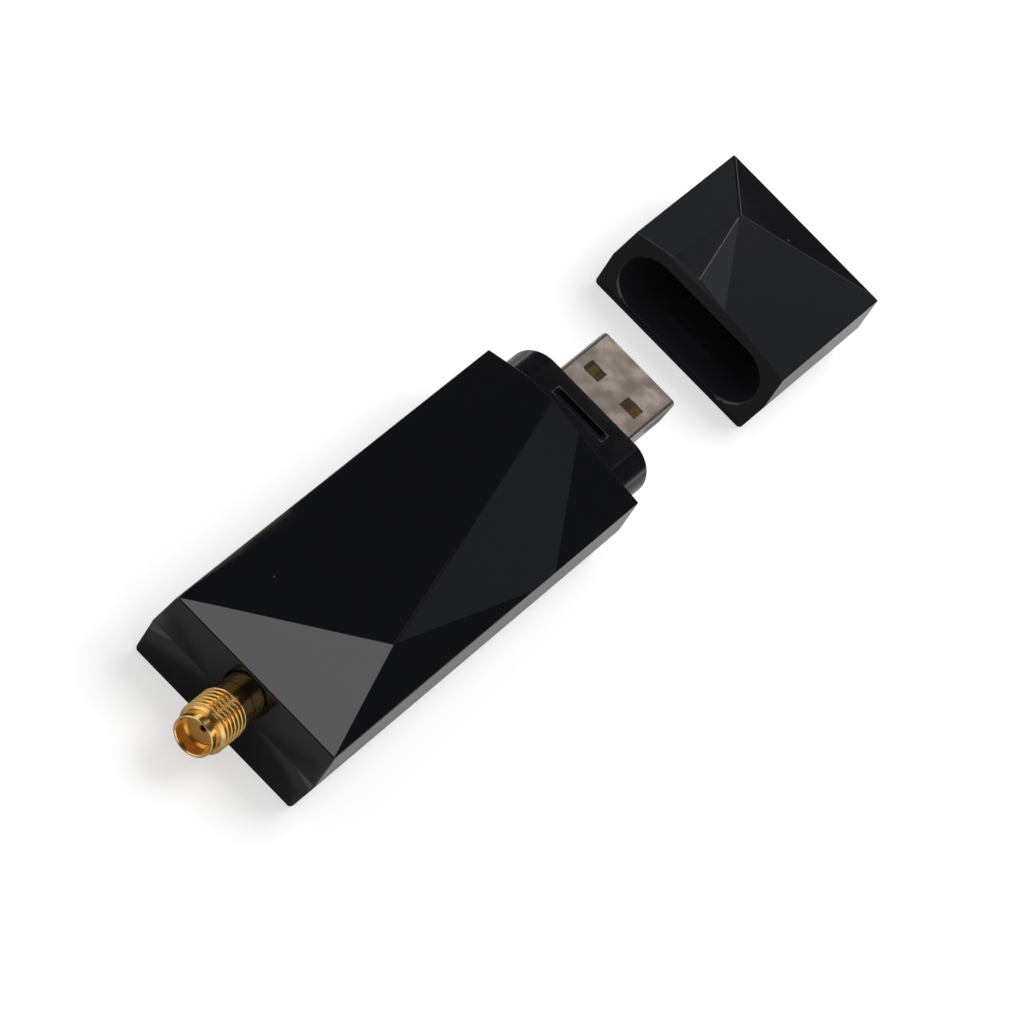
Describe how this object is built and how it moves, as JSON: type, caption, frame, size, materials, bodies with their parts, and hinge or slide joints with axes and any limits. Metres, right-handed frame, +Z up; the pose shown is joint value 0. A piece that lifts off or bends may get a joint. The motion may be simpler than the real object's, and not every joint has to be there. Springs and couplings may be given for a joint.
{
  "type": "usb wifi adapter",
  "caption": "USB Wi-Fi adapter stick with faceted gloss housing, gold screw antenna connector, USB-A plug and a pull-off cap that slides over the plug.",
  "frame": {"origin": "on the base plane, under the middle of the housing", "axes": "+X from the antenna connector towards the plug and the cap, +Z up from the base, +Y to the left seen from the antenna end"},
  "size_m": [0.1306, 0.026, 0.012],
  "materials": {
    "top_cover": "gloss black ABS",
    "bottom_cover": "gloss black ABS",
    "plug_collar": "semi-gloss black ABS",
    "cap": "gloss black ABS",
    "usb_shell": "nickel-plated steel sheet",
    "usb_insulator": "moulded glass-filled plastic",
    "usb_contacts": "gold plate",
    "circuit_board": "green solder mask",
    "shield_can": "tin-plated steel sheet",
    "wifi_chip": "moulded epoxy",
    "crystal": "plated lid on ceramic",
    "regulator": "moulded epoxy with tinned legs",
    "esd_protector": "moulded epoxy with tinned legs",
    "inductors": "pressed ferrite",
    "capacitors": "ceramic with tinned ends",
    "resistors": "glazed ceramic with tinned ends",
    "rf_filter": "ceramic with tinned ends",
    "sma_body": "gold-plated brass",
    "sma_insulator": "PTFE",
    "sma_contact": "gold-plated brass"
  },
  "bodies": {
    "housing": {"top_cover": "top_cover", "bottom_cover": "bottom_cover", "plug_collar": "plug_collar", "usb_shell": "usb_shell", "usb_insulator": "usb_insulator", "usb_contacts": "usb_contacts", "circuit_board": "circuit_board", "shield_can": "shield_can", "wifi_chip": "wifi_chip", "crystal": "crystal", "regulator": "regulator", "inductors": "inductors", "capacitors": "capacitors", "resistors": "resistors", "rf_filter": "rf_filter", "esd_protector": "esd_protector", "sma_body": "sma_body", "sma_insulator": "sma_insulator", "sma_contact": "sma_contact"},
    "cap": {"cap": "cap"}
  },
  "joints": [
    {"name": "cap_slide", "type": "slide", "parent": "housing", "child": "cap", "axis": [1, 0, 0], "range_m": [-0.0335, 0]}
  ]
}
